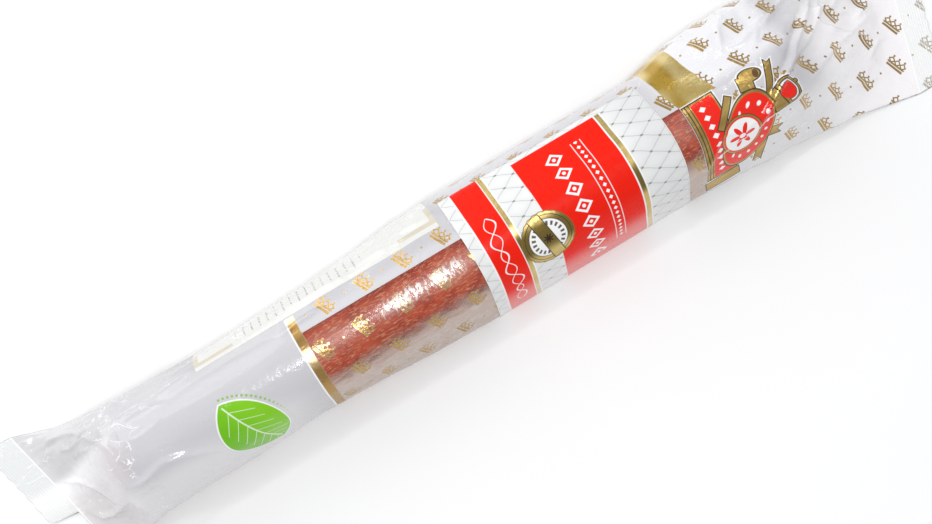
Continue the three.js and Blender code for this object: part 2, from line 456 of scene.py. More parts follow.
def slanted(x, y):
    """The crimps lie at a slant, so x moves with y near the ends."""
    left = np.clip((x + end_x) / (crimp_left + end_x), 0, 1)
    right = np.clip((x - end_x) / (crimp_right - end_x), 0, 1)
    return x + left_slant * left * (y - left_pivot) + right_slant * right * y


def film_sections(x, inset):
    """Fine points [row, point, (y, z)] of the film's closed sections."""
    front = np.interp(x, film_edges[:, 0], film_edges[:, 1]) + inset
    back = np.interp(x, film_edges[:, 0], film_edges[:, 2]) - inset
    floor = smooth(x, label_start - 10, label_start - 4)
    floor = label_room * (floor - smooth(x, label_end + 4, label_end + 10)) + inset
    radius = film_radius - inset
    round_keys = [
        (back, fold_height),
        (shoulder_share * back, axis_height + shoulder_rise - inset),
        *[(radius * cos(angle), axis_height + radius * sin(angle)) for angle in resting_angles],
        ((front - radius) / 2, axis_height - 4),
        (front, fold_height), (0.8 * front, floor), (0.3 * front, floor), (2.5, floor),
        (8, fin_under + inset), (0.62 * back, fin_under + inset),
    ]
    middle = (crimp_top + crimp_under) / 2
    flat_keys = [
        (back, middle),
        *[(back + (front - back) * part, crimp_top) for part in np.arange(1, 8) / 8],
        (front, middle),
        *[(front + (back - front) * part, crimp_under) for part in np.arange(1, 6) / 6],
    ]
    round_keys, flat_keys = (
        np.array([[value + 0 * x for value in key] for key in keys]).transpose(2, 0, 1)
        for keys in (round_keys, flat_keys)
    )
    reach = np.where(x < 0, -crimp_left, crimp_right)
    flatness = np.clip((np.abs(x) - flat_from) / (reach - flat_from), 0, 1)
    flatness = np.sin(flatness * pi / 2) ** 1.6
    flatness = flatness[:, None, None]
    keys = round_keys * (1 - flatness) + flat_keys * flatness
    before, here = np.roll(keys, 1, axis=1), keys
    after, later = np.roll(keys, -1, axis=1), np.roll(keys, -2, axis=1)
    first, second, third = (
        np.maximum(np.linalg.norm(b - a, axis=2, keepdims=True) ** 0.5, 1e-4)
        for a, b in ((before, here), (here, after), (after, later))
    )
    leaving = ((here - before) / first - (after - before) / (first + second)
               + (after - here) / second) * second
    arriving = ((after - here) / second - (later - here) / (second + third)
                + (later - after) / third) * second
    step = (np.arange(samples) / samples)[None, None, :, None]
    a, b, c, d = (v[:, :, None, :] for v in (here, after, leaving, arriving))
    curve = (a + c * step + (3 * (b - a) - 2 * c - d) * step ** 2
             + (2 * (a - b) + c + d) * step ** 3)
    curve = curve.reshape(len(x), -1, 2)
    lowest = floor * (1 - flatness[:, 0, 0]) + crimp_under * flatness[:, 0, 0]
    curve[:, :, 1] = np.maximum(curve[:, :, 1], lowest[:, None])
    return np.concatenate([curve, curve[:, :1]], axis=1)


def evenly(points, count):
    """Each row of points resampled to a count of even steps, with distances."""
    steps = np.linalg.norm(np.diff(points, axis=1), axis=2)
    travelled = np.concatenate([np.zeros((len(points), 1)), np.cumsum(steps, 1)], axis=1)
    wanted = np.linspace(0, 1, count) * travelled[:, -1:]
    made = np.empty((len(points), count, 2))
    for row in range(len(points)):
        for axis in (0, 1):
            made[row, :, axis] = np.interp(wanted[row], travelled[row], points[row, :, axis])
    return made, wanted, travelled


def film_grid(x, inset):
    """The film's sections as y, z and distance round from the sausage's top."""
    fine = film_sections(x, inset)
    fold = 8 * samples
    top, top_run, top_fine = evenly(fine[:, :fold + 1], top_columns + 1)
    under, under_run, _ = evenly(fine[:, fold:], under_columns + 1)
    crest = np.array([
        np.interp(0, -fine[row, :fold + 1, 0], top_fine[row]) for row in range(len(x))
    ])[:, None]
    over = crest - top_run
    front_side = crest - top_run[:, -1:] - under_run
    back_side = crest + under_run[:, -1:] - under_run
    section = np.concatenate([top[:, :-1], under[:, :-1]], axis=1)
    from_front = np.concatenate([over[:, :-1], front_side[:, :-1]], axis=1)
    from_back = np.concatenate([over[:, :-1], back_side[:, :-1]], axis=1)
    return section[..., 0], section[..., 1], from_front, from_back


def lattice_noise(x, y, seed):
    """Smooth random hills from -1 to 1 with one hill to each unit."""
    table_size = 64
    heights = np.random.default_rng(seed).uniform(-1, 1, (table_size, table_size))
    column, row = np.floor(x).astype(int), np.floor(y).astype(int)
    part_x, part_y = x - column, y - row
    part_x = part_x ** 3 * (part_x * (part_x * 6 - 15) + 10)
    part_y = part_y ** 3 * (part_y * (part_y * 6 - 15) + 10)
    corner = [
        heights[(row + j) % table_size, (column + i) % table_size]
        for j in (0, 1) for i in (0, 1)
    ]
    low = corner[0] + (corner[1] - corner[0]) * part_x
    high = corner[2] + (corner[3] - corner[2]) * part_x
    return low + (high - low) * part_y


def folded_noise(x, y, seed):
    """Flat facets that meet in sharp creases, from -1 to 1."""
    warp_x = x + 0.5 * lattice_noise(x * 0.7, y * 0.7, seed + 1)
    warp_y = y + 0.5 * lattice_noise(x * 0.7, y * 0.7, seed + 2)
    total = 0
    for turn, pitch in ((0.35, 1.0), (1.25, 0.8), (2.3, 1.15), (2.85, 0.65)):
        run = (warp_x * cos(turn) + warp_y * sin(turn)) * pitch + seed * 0.37 + turn
        total = total + np.abs(run % 2 - 1) * 2 - 1
    return total / 2.2


def crease(x, y, path, height, width):
    """A fold along a path of (x, y) points, sharp on top and fading at its ends."""
    path = np.array(path, float)
    nearest = np.full(x.shape, 1e9)
    fade = np.zeros(x.shape)
    total = len(path) - 1
    for i, (start, end) in enumerate(zip(path[:-1], path[1:])):
        run = end - start
        part = ((x - start[0]) * run[0] + (y - start[1]) * run[1]) / (run @ run)
        part = np.clip(part, 0, 1)
        away = np.hypot(x - start[0] - part * run[0], y - start[1] - part * run[1])
        closer = away < nearest
        nearest = np.where(closer, away, nearest)
        fade = np.where(closer, (i + part) / total, fade)
    rise = np.clip(np.minimum(fade, 1 - fade) * 5 + 0.25, 0, 1)
    return 1.35 * height * rise * np.exp(-((nearest ** 2 + 0.06) ** 0.5 - 0.24) / width)


row_stretches = [
    (crimp_left - crimp_length, crimp_left, 36), (crimp_left, -118, 112),
    (-118, 116, 122), (116, crimp_right, 168), (crimp_right, crimp_right + crimp_length, 36),
]
film_x = np.concatenate([
    np.linspace(start, end, steps, endpoint=False) for start, end, steps in row_stretches
] + [[crimp_right + crimp_length]])
film_y, film_z, from_front, from_back = film_grid(film_x, film_inset)
row_x = film_x[:, None] + 0 * film_y
film_columns = film_y.shape[1]
on_top = np.arange(film_columns)[None, :] < top_columns
past_left = np.clip(crimp_left - row_x, 0, None)
past_right = np.clip(row_x - crimp_right, 0, None)
seal_depth = past_left + past_right
plan_x = slanted(row_x, film_y)

# The knife leaves teeth on both cut ends
tooth = np.abs((film_y / 3.1) % 2 - 1) - 0.5
tooth += 0.5 * lattice_noise(film_y / 5, film_y * 0, 5)
plan_x += tooth * 0.8 * (smooth(past_right, 11, 13) - smooth(past_left, 11, 13))

# How freely each part of the film can crease
s = from_front
left_slack = smooth(-row_x, 138, 178)
right_slack = smooth(row_x, 132, 176)
back_slack = smooth(s, 13, 22) * (1 - smooth(row_x, -12, 2) + smooth(row_x, 120, 132))
front_slack = smooth(-s, 28, 40) * 0.5
labelled = smooth(row_x, label_start - 14, label_start) - smooth(row_x, label_end, label_end + 10)
slack = np.clip(left_slack + right_slack + 0.55 * back_slack + front_slack, 0, 1)
slack *= (1 - labelled) * (1 - smooth(seal_depth, 0, 1.5))
near_seal = smooth(14 - np.abs(row_x - crimp_left), 0, 12)
near_seal += smooth(20 - np.abs(row_x - crimp_right), 0, 18)

# Broad folds and facets, then the creases that catch the light one by one
lift = 0.12 * lattice_noise(plan_x / 13, s / 9, 11)
lift += 0.5 * slack * lattice_noise(plan_x / 26, s / 13, 12)
lift += (0.3 + 0.6 * right_slack) * slack * folded_noise(plan_x / 24, film_y / 15, 3)
lift += (0.12 + 0.4 * right_slack) * slack * folded_noise(plan_x / 9, film_y / 6, 8)
puckers = (seal_depth < 0.5) * near_seal * folded_noise(plan_x / 5, film_y / 4, 21)
lift += (0.18 + 0.32 * right_slack) * puckers
streaks = lattice_noise(plan_x / 34, s / 3.4, 14) + 0.5 * lattice_noise(plan_x / 18, s / 1.8, 15)
lift += 0.55 * back_slack * (row_x < 0) * streaks
hollows = [
    (-148, 8, 17, 6, 0.08, -1.5), (-110, 8, 34, 4.5, 0.02, -0.5),
    (169, 27, 17, 8, 0.05, -1.6), (182, -4, 34, 5, 0.42, -1.8),
    (-182, 4, 14, 13, 0.3, -0.2), (214, 24, 16, 7, 0.5, -1.2),
    (138, 24, 15, 7, -0.2, -0.9), (-176, -20, 12, 6, 0.5, -1.0),
]
for middle_x, middle_y, length, width, turn, depth in hollows:
    away = ellipse(plan_x, film_y, middle_x, middle_y, length, width, turn)
    lift += depth * (1 - smooth(away, 0.25, 1.0)) * on_top
creases = [
    ([(-166, -12.5), (-158, -13), (-145, -12), (-132, -15), (-122, -19)], 0.9, 1.6),
    ([(-161, -14), (-155, -12), (-148, -10.5), (-136, -12.5)], 0.7, 0.7),
    ([(-165, -17), (-156, -16), (-153, -19)], 0.8, 0.9),
    ([(-160, 6), (-152, 3.5), (-143, 4.5), (-136, 8)], 0.7, 0.9),
    ([(-80, 9.2), (-70, 11), (-58, 11.8)], 0.6, 1.1),
    ([(-196, 30), (-189, 28), (-183, 26), (-176, 21.5)], 0.9, 0.8),
    ([(-190, 22), (-184, 19), (-177, 18.5), (-170, 21)], 0.9, 0.8),
    ([(-185, 15), (-179, 14), (-173, 11.5)], 0.7, 0.7),
    ([(-176, 21), (-168, 12), (-163, 4), (-160, -6)], 0.8, 1.2),
    ([(-198, -2), (-194, -7), (-189, -13), (-182, -15), (-172, -16)], 1.3, 1.1),
    ([(-200, 12), (-190, 6), (-181, -4), (-175, -14)], 0.6, 0.8),
    ([(-170, 25), (-150, 23), (-128, 25)], 0.8, 1.2),
    ([(-160, 17), (-140, 16), (-118, 19)], 0.6, 1.0),
    ([(165, -6), (178, -1), (192, 4), (206, 12), (216, 24)], 1.3, 1.1),
    ([(165, -16), (184, -12), (203, -3), (220, 1), (234, 4)], 1.1, 1.3),
    ([(154, 20), (160, 30), (167, 35), (178, 34)], 0.9, 0.8),
    ([(154, 20), (165, 19), (175, 22), (184, 27)], 0.8, 0.8),
    ([(178, 34), (186, 36), (193, 33)], 0.8, 0.7),
    ([(158, 9), (168, 14), (176, 22)], 0.7, 0.9),
    ([(131, -13), (143, -17), (156, -14), (165, -11)], 0.6, 0.7),
    ([(118, -24), (126, -19), (131, -13)], 0.9, 1.0),
    ([(206, 19), (216, 14), (224, 18), (236, 15)], 0.9, 0.8),
    ([(216, 32), (226, 26), (236, 30), (246, 26)], 0.9, 0.8),
    ([(222, -14), (234, -8), (246, -10)], 0.8, 0.9),
    ([(190, -22), (206, -20), (224, -24)], 0.7, 1.0),
    ([(148, -19), (164, -10), (182, 2), (200, 15), (222, 33)], 1.5, 0.8),
    ([(150, -15), (168, -4), (186, 9), (204, 22)], -1.1, 1.0),
    ([(176, 20), (192, 27), (206, 31)], 1.0, 0.7),
    ([(206, 12), (212, 5), (220, -1), (228, -5)], 1.0, 0.7),
    ([(204, 26), (212, 28), (222, 24), (230, 27)], 0.9, 0.6),
    ([(214, 20), (218, 12), (226, 10)], 0.8, 0.6),
    ([(228, 6), (238, 10), (249, 5)], 0.8, 0.7),
    ([(118, 30), (130, 33), (146, 36)], 0.8, 1.2),
]
for path, height, width in creases:
    lift += crease(plan_x, film_y, path, height, width) * on_top * (1 - labelled)

# It can't sink into the sausage or the table, and lies still under the label
touching = (1 - smooth(np.abs(s + 6), 18, 27)) * (1 - smooth(np.abs(row_x), 158, 166))
lift = np.maximum(lift, -0.22 - 6 * (1 - touching))
lift *= (1 - labelled) + 0.12 * labelled
lift *= smooth(film_z, 0.2, 5) * (1 - smooth(seal_depth, 0, 1.2))
flat_sheet = np.stack([plan_x, film_y, film_z], -1)
closed_rows = np.concatenate([flat_sheet[:, -1:], flat_sheet, flat_sheet[:, :1]], 1)
along_columns = np.gradient(closed_rows, axis=1)[:, 1:-1]
outward = np.cross(along_columns, np.gradient(flat_sheet, axis=0))
outward /= np.maximum(np.linalg.norm(outward, axis=2, keepdims=True), 1e-9)
placed = flat_sheet + outward * lift[..., None]
placed[..., 2] = np.maximum(placed[..., 2], crimp_under * 0.5)

# The front half of the left crimp is turned under, and lifts the film above it
tuck_height = 0.95
turn_length = 1.2
tucked = smooth(-placed[..., 1], 3, 7)
placed[..., 2] += tuck_height * tucked * smooth(-row_x, 184, 196)
turning = np.clip(past_left / turn_length, 0, 1) * pi
turned_x = slanted(crimp_left + 0 * row_x, film_y) - 0.5 * np.sin(turning)
turned_x += np.clip(past_left - turn_length, 0, None)
turned_z = np.where(on_top, 0.08, 0.42)
turned_z = placed[..., 2] + (turned_z - placed[..., 2]) * (1 - np.cos(turning)) / 2
turned = (past_left > 0) * tucked
placed[..., 0] += (turned_x - placed[..., 0]) * turned
placed[..., 2] += (turned_z - placed[..., 2]) * turned

film_points = at_place(placed[..., 0], placed[..., 1], placed[..., 2])
film_rows = len(film_x)
film_faces = wrapped_faces(film_rows, film_columns)
last_row = film_columns * (film_rows - 1)
# Each end is closed by quads from two top columns to the ones under them
under = [-round(column * under_columns / top_columns) % film_columns
         for column in range(top_columns)]
for column in range(1, top_columns):
    quad = list(dict.fromkeys([column - 1, under[column - 1], under[column], column]))
    if len(quad) > 2:
        film_faces.append(quad)
        film_faces.append([last_row + corner for corner in quad[::-1]])

# The fin: two edges of the sheet welded together and laid flat underneath
fin_x = np.linspace(fin_left, fin_right, 120)
fin_outline = np.array([
    (0, 0.06), (fin_width / 2, 0.06), (fin_width, 0.06), (fin_width, fin_thickness),
    (fin_width / 2, fin_thickness - 0.1), (0, fin_thickness),
])
fin_wave = 0.35 * lattice_noise(fin_x / 21, fin_x * 0, 31)
fin_y = fin_root - fin_outline[::-1, 0][None, :] + fin_wave[:, None]
fin_z = fin_outline[::-1, 1][None, :] + 0 * fin_wave[:, None]
fin_points = at_place(fin_x[:, None] + 0 * fin_y, fin_y, fin_z)
fin_first = film_rows * film_columns
fin_columns = len(fin_outline)
for face in capped_faces(len(fin_x), fin_columns):
    film_faces.append([fin_first + corner for corner in face])
film = mesh_object(
    "printed_film",
    np.concatenate([film_points.reshape(-1, 3), fin_points.reshape(-1, 3)]),
    film_faces,
)


def corners_of(mesh):
    """The point at each corner of the faces."""
    points = np.zeros(len(mesh.loops), int)
    mesh.loops.foreach_get("vertex_index", points)
    return points


def map_print(mesh, x, y):
    """Lays a print map from places in millimetres at the corners."""
    made = mesh.uv_layers.new(name="print")
    made.data.foreach_set("uv", np.stack([x, y], -1).ravel() * MM)


# The print follows the sheet: x along the pack, y round from the sausage's top.
# The sheet's edges meet at the fin, so y is counted from the side a face is on
seam_round = 70.0
film_mesh = film.data
corner_point = corners_of(film_mesh)
corner_counts = np.zeros(len(film_mesh.polygons), int)
film_mesh.polygons.foreach_get("loop_total", corner_counts)
corner_face = np.repeat(np.arange(len(film_mesh.polygons)), corner_counts)
fin_length = len(fin_x) * fin_columns
print_x, print_y, print_front, print_back = (
    np.concatenate([on_sheet.ravel(), np.broadcast_to(on_fin, fin_length)])[corner_point]
    for on_sheet, on_fin in (
        (plan_x, np.repeat(fin_x, fin_columns)), (film_y, fin_y.ravel()),
        (from_front, -seam_round), (from_back, seam_round),
    )
)
face_y = np.bincount(corner_face, print_y) / corner_counts
on_back = face_y[corner_face] > fin_root
map_print(film_mesh, print_x, np.where(on_back, print_back, print_front))
fin_zeros = np.zeros(fin_length)
for attribute_name, values in (("slack", slack), ("seal_depth", seal_depth)):
    attribute = film_mesh.attributes.new(attribute_name, "FLOAT", "POINT")
    attribute.data.foreach_set("value", np.concatenate([values.ravel(), fin_zeros]))

# Small crumples where the sheet is slack, and the ribs pressed into the crimps
crumple_tree, given, (crumple_height, crumple_scale, rib_pitch, rib_depth, table_level) = new_shape_tree(
    "film_creases", "Crumple height", "Crumple scale", "Rib pitch", "Rib depth", "Table level",
)
point_slack, depth_in_seal = (
    Field(new_node(crumple_tree, "GeometryNodeInputNamedAttribute", name,
                   data_type="FLOAT").outputs[0])
    for name in ("slack", "seal_depth")
)
ridges = abs(shape_noise(crumple_scale, 2.0, (0.6, 1, 1)))
crumpled = pushed_out(given["Geometry"], ridges * crumple_height * point_slack)
wave = (depth_in_seal / rib_pitch * (2 * pi)).math("SINE")
rib = wave * depth_in_seal.math("GREATER_THAN", 0.6) * rib_depth
upwards = new_node(crumple_tree, "ShaderNodeCombineXYZ", None, None, rib).outputs[0]
pressed = new_node(crumple_tree, "GeometryNodeSetPosition", crumpled)
fill(pressed, Offset=upwards)
pressed_place = new_node(crumple_tree, "GeometryNodeInputPosition").outputs[0]
split = new_node(crumple_tree, "ShaderNodeSeparateXYZ", pressed_place).outputs
above_table = Field(split["Z"]) | table_level
rested_place = new_node(crumple_tree, "ShaderNodeCombineXYZ", split["X"], split["Y"], above_table)
rested = new_node(crumple_tree, "GeometryNodeSetPosition", pressed.outputs[0])
fill(rested, Position=rested_place.outputs[0])
finish_shape(rested.outputs[0], given["Material"])

# The ink: pearl white with a clear window, gold crowns, a gold band, a green
# leaf under an arc of dots, and a red and gold seal with its ribbon and bow.
# All of it is laid out on the sheet, in millimetres, by distances from shapes.
film_print, tree, film_ink = new_material("printed_film")
window_left = -70
window_right = 122
window_front = -63
window_back = 6
crown_pitch = 19.4
crown_row = 17.5
crown_lean = radians(22)
red = (0.82, 0.014, 0.004)
white = (0.88, 0.88, 0.88)
dark = (0.035, 0.02, 0.012)


def print_place(tree):
    """The print map of a piece: two fields in millimetres, and the map."""
    place = new_node(tree, "ShaderNodeUVMap", uv_map="print").outputs[0]
    split = new_node(tree, "ShaderNodeSeparateXYZ", place).outputs
    return Field(split[0]) * 1000, Field(split[1]) * 1000, place


def inside(distance, soft=0.16):
    """1 where a distance is below zero, with a soft printed edge."""
    return distance.math("MULTIPLY_ADD", -0.5 / soft, 0.5, clamped=True)


def strip(value, low, high):
    return abs(value - (low + high) / 2) - (high - low) / 2


def slab(x, y, low_x, high_x, low_y, high_y):
    return strip(x, low_x, high_x) | strip(y, low_y, high_y)


def disc(x, y, middle_x, middle_y, radius):
    across, up = x - middle_x, y - middle_y
    return (across * across + up * up).math("SQRT") - radius


def leaned(x, y, middle_x, middle_y, angle):
    """The same place measured from a middle, along and across a lean."""
    across, up = x - middle_x, y - middle_y
    return (across * cos(angle) + up * sin(angle), up * cos(angle) - across * sin(angle))


def oval(x, y, middle_x, middle_y, half_x, half_y, angle):
    along_it, over_it = leaned(x, y, middle_x, middle_y, angle)
    return disc(along_it * (half_y / half_x), over_it, 0, 0, half_y)


def bar(x, y, middle_x, middle_y, half_x, half_y, angle=0.0):
    along_it, over_it = leaned(x, y, middle_x, middle_y, angle)
    return (abs(along_it) - half_x) | (abs(over_it) - half_y)


def nearest_step(value, pitch):
    """How far a value is from the nearest multiple of a pitch."""
    return value - (value / pitch).math("ROUND") * pitch


class Print:
    """Inks laid one over another, with where they cover and where they are foil.

    The cover starts as what is not clear, and is None on a sheet with no window.
    """

    def __init__(self, ground, cover=None):
        self.colour = ground
        self.cover = cover
        self.foil = None

    def tint(self, mask, colour):
        """Shades the print as it is, with no more ink."""
        self.colour = mixed(mask, self.colour, colour)

    def ink(self, mask, colour, foil=False):
        """Prints one more colour on top of what is there."""
        self.tint(mask, colour)
        if self.cover is not None:
            self.cover = self.cover | mask
        if foil:
            self.foil = mask if self.foil is None else self.foil | mask
        elif self.foil is not None:
            self.foil = self.foil * (1 - mask)


ink_x, ink_s, ink_map = print_place(tree)
wobble = noise(ink_map, 120, 2) - 0.5
pearl_cloud = noise(ink_map, 25, 2)
pearl = mixed(pearl_cloud, (0.55, 0.54, 0.57), (0.60, 0.59, 0.615))
gold_cloud = noise(stretched(ink_map, (1, 3, 1)), 60, 2)
gold_sheen = mixed(gold_cloud, (0.24, 0.13, 0.018), (0.68, 0.49, 0.17))
window = slab(ink_x, ink_s, window_left, window_right, window_front, window_back)
clear = inside(window, 0.12)
film_inks = Print(pearl, 1 - clear)
ink = film_inks.ink
tint = film_inks.tint

# The pale panel on the far side: plain worn rules between two corner brackets
panel = slab(ink_x, ink_s, -117.5, 4.5, 17.5, 60)
ink(inside(panel), (0.70, 0.695, 0.67))
rules = (abs(nearest_step(ink_x + 68, 4.0)) - 0.35) | slab(ink_x, ink_s, -97, -32, 22, 34)
worn = noise(stretched(ink_map, (0.4, 1, 1)), 900, 1)
ink(inside(rules) * between(worn, 0.42, 0.5) * 0.62, (0.22, 0.22, 0.24))
corner_side = abs(ink_x + 56.5)
bracket = slab(corner_side, ink_s, 42, 61, 20, 22.4)
bracket = bracket & slab(corner_side, ink_s, 58.7, 61, 20, 33)
ink(inside(bracket), (0.60, 0.55, 0.44))

# The leaf is where two discs overlap, and its dots run round one of them
disc_radius = 23.6
disc_shift = 10.4
dot_radius = 25.8
leaf_x, leaf_y = leaned(ink_x, ink_s, -108, -22.6, radians(-69))
leaf = disc(leaf_x, leaf_y, 0, disc_shift, disc_radius)
leaf = leaf | disc(leaf_x, leaf_y, 0, -disc_shift, disc_radius)
ink(inside(leaf - 0.65), (0.90, 0.90, 0.90))
leaf_green = mixed(between(leaf_y, -8, 8), (0.16, 0.50, 0.004), (0.22, 0.58, 0.01))
ink(inside(leaf), leaf_green)
side_veins = abs(nearest_step(leaf_x - abs(leaf_y) * 0.9, 5.4)) - 0.16
veins = (side_veins | (abs(leaf_y) - 8.5)) & (abs(leaf_y) - 0.32)
ink(inside(veins | (leaf + 1.4)) * 0.85, (0.86, 0.92, 0.80))
dot_turn = (leaf_y + disc_shift).math("ARCTAN2", leaf_x)
dot_along = nearest_step(dot_turn, 0.078) * dot_radius
dots = disc(dot_along, disc(leaf_x, leaf_y, 0, -disc_shift, dot_radius), 0, 0, 0.55)
ink(inside(dots | (abs(leaf_x) - 24) | (1 - leaf_y)), (0.25, 0.50, 0.08))


def crown(across, up):
    """A plain crown: two bands under a row of hollow lozenges with balls on."""
    side = abs(nearest_step(across, 3.1))
    from_gem = side + abs(up - 3.7)
    gem = (from_gem - 1.95) & (abs(up - 2.3) - 0.35)
    balls = disc(side, up, 0, 6.0, 0.55)
    band = slab(across, up, -4.5, 4.5, 0.0, 1.25) & slab(across, up, -4.4, 4.4, 1.65, 2.1)
    return ((gem | (1.0 - from_gem)) & balls & band) | (abs(across) - 4.7 - up * 0.05)


crown_index = ((ink_s + 5) / crown_row).math("ROUND")
crown_up = ink_s + 5 - crown_index * crown_row
shifted = (crown_index * 0.5).math("FRACT") * crown_pitch
crown_along = nearest_step(ink_x + 65.4 - shifted, crown_pitch)
turned_up, turned_over = leaned(crown_along, crown_up, 0, 0, crown_lean)
crown_dots = disc(abs(crown_along), crown_up, crown_pitch / 2, 0, 0.55)
crowns = crown(turned_over, turned_up + 2.9) & crown_dots
crowns = crowns | (window_left - ink_x) | (0 - panel)
crown_gold = mixed(noise(ink_map, 55, 1), (0.32, 0.170, 0.025), (0.60, 0.40, 0.13))
ink(inside(crowns, 0.14), crown_gold, foil=True)
# Painted highlights: the gold band is lighter over the top of the sausage and on the back shoulder.
band_highlight = between(abs(ink_s + 5), 7, 1) | between(ink_s, 11, 15)
band_gold = mixed(band_highlight, (0.42, 0.25, 0.08), (0.76, 0.60, 0.34))
ink(inside(slab(ink_x, ink_s, window_left - 4.7, window_left, -80, 16.5)), (0.92, 0.92, 0.92))
ink(inside(slab(ink_x, ink_s, window_left - 4, window_left, -80, 16.5)), band_gold, foil=True)

# The wide ribbon that runs over the back, to the right of the window
sweep = (ink_s - window_back) / 50
ribbon_left = 121.5 - sweep * (1 - sweep) * 12 + wobble * 1.2
ribbon_right = 140.5 - sweep * 17 + sweep * sweep * 14 + wobble * 2
ribbon = (ribbon_left - ink_x) | (ink_x - ribbon_right) | (5.5 - ink_s) | (ink_s - 62)
ribbon_shade = noise(stretched(ink_map, (1.6, 0.8, 1), 0.5), 45, 1)
ribbon_light = between(ribbon_shade, 0.35, 0.65)
ribbon_gold = mixed(ribbon_light, (0.52, 0.33, 0.05), (0.80, 0.66, 0.32))
ink(inside(ribbon), ribbon_gold, foil=True)


def ribbon_end(middle_x, middle_s, half_length, half_width, lean):
    """A strip of ribbon with a notch cut in its far end."""
    along_it, over_it = leaned(ink_x, ink_s, middle_x, middle_s, radians(lean))
    notch = along_it - half_length + 2.4 - abs(over_it)
    return (abs(along_it) - half_length) | (abs(over_it) - half_width) | notch


# The seal: a banner, ribbon ends, a bow and a cap, with an oval over them and
# a disc with a rosette in the middle of it
tails = ribbon_end(154.5, -28.5, 8, 2.9, -16) & ribbon_end(150.5, -37, 8.5, 2.5, -107)
tails = tails & ribbon_end(162.6, -3.6, 10.5, 1.8, 66)
tails = tails & bar(ink_x, ink_s, 130, -44.6, 9.2, 3.4, radians(5))
fold = bar(ink_x, ink_s, 137.6, -6.6, 8, 1.9, radians(50))
bow = oval(ink_x, ink_s, 156, 2.6, 5.6, 3.4, radians(-14))
bow = bow & bar(ink_x, ink_s, 152.5, 0.2, 3.8, 3.6, radians(-10))
bow_hole = oval(ink_x, ink_s, 158.8, 1.9, 1.3, 2.0, radians(-14))
cap_x, cap_y = leaned(ink_x, ink_s, 162, -14.4, radians(20))
cap_body = (abs(cap_x) - 5.4) | (abs(cap_y) - 5.4 - cap_x * 0.16)
cap_dome = disc(cap_x, cap_y, 7.4, 0, 4.4)
cap_arch = abs(disc(cap_x, cap_y, 7.2, 0, 5.9)) - 0.8
cap = cap_body & cap_dome & cap_arch & disc(cap_x, cap_y, 14.2, 0, 1.2)
cap_rims = abs(abs(cap_x) - 3.4) - 0.3
ring = oval(ink_x, ink_s, 145.4, -21.4, 20.2, 13.0, radians(61))
disc_x = 141.6
disc_s = -20.6
disc_round = disc(ink_x, ink_s, disc_x, disc_s, 0)
seal_turn = (ink_s - disc_s).math("ARCTAN2", ink_x - disc_x)
beads = disc(abs(nearest_step(seal_turn, pi / 9)) * 13, ring, 0, -4.0, 0.8)
petals = disc_round - 4.2 - (seal_turn * 6).math("COSINE") * 2.2
lozenges = abs(ink_x - 129.8) * 0.8 + abs(nearest_step(ink_s, 4.4)) - 1.4
badge = slab(ink_x, ink_s, 121.8, 138, -41, 5.5) & tails & fold & bow & cap & ring
banner_golds = [
    slab(ink_x, ink_s, low, high, -40.4, 4.9)
    for low, high in ((122.2, 123.3), (123.8, 125.0), (125.4, 137.4))
]
for shape, colour in (
    ((badge - 0.45) | (121.6 - ink_x), white), (badge, dark),
    ((tails & bow & cap) + 0.5, gold_sheen), (bow_hole, (0.12, 0.06, 0.02)),
    (cap_rims | cap_body, dark), (cap_dome + 0.4, red),
    *[(banner_gold, gold_sheen) for banner_gold in banner_golds],
    (slab(ink_x, ink_s, 125.9, 136.8, -39.8, 4.2), red),
    (lozenges | strip(ink_s, -37, 2), white),
    (fold, dark), (fold + 0.45, gold_sheen),
    (ring, dark), (ring + 0.4, gold_sheen), (ring + 1.1, red), (beads, white),
    (disc_round - 10.3, dark), (disc_round - 10.0, gold_sheen),
    (disc_round - 9.2, red), (disc_round - 8.5, white),
    (petals, red), (disc_round - 1.5, white),
):
    ink(inside(shape), colour, foil=colour is gold_sheen)
# A painted highlight: a thin white line across the seal, where a fold in the film catches the light.
glare = bar(ink_x, ink_s + wobble * 4, 144.3, -23, 17, 0.3, radians(10))
ink(inside(glare) * 0.8, white)

# Where the sheet is clear it is a little hazy: more so in front, where it
# hangs away from the meat. Over the top of the sausage a pale veil and broken
# white specks, the light off tiny folds, are painted where the lamp's highlight
# falls: painted sheen and painted glints.
bare = 1 - film_inks.cover
pulled = noise(stretched(ink_map, (0.35, 1, 1), radians(14)), 260, 2, 0.5, 0.6)
streaks = between(abs(pulled - 0.5), 0.045, 0.0) * between(ink_s, -16, -26) * bare
near_top = abs(ink_s + 4)
gleam = between(abs(ink_x + 25), 19, 7) | between(abs(ink_x + 4), 13, 5)
gleam = gleam * between(near_top, 6.5, 1)
painted_glints = noise(stretched(ink_map, (1, 0.45, 1), radians(-12)), 620, 3, 0.6)
painted_glints = between(painted_glints + gleam * 0.18, 0.63, 0.70) * gleam * bare
haze_and_painted_glints = between(ink_s - pulled * 12, -20, -35, 0.01, 0.62)
haze_and_painted_glints = haze_and_painted_glints | streaks * 0.5 | painted_glints * 0.9
haze_and_painted_glints = haze_and_painted_glints | gleam * 0.22 | between(near_top, 10, 2) * 0.07
tint(bare, (0.82, 0.67, 0.58))
tint(streaks * 0.5 | painted_glints | gleam * 0.3, (0.96, 0.93, 0.92))
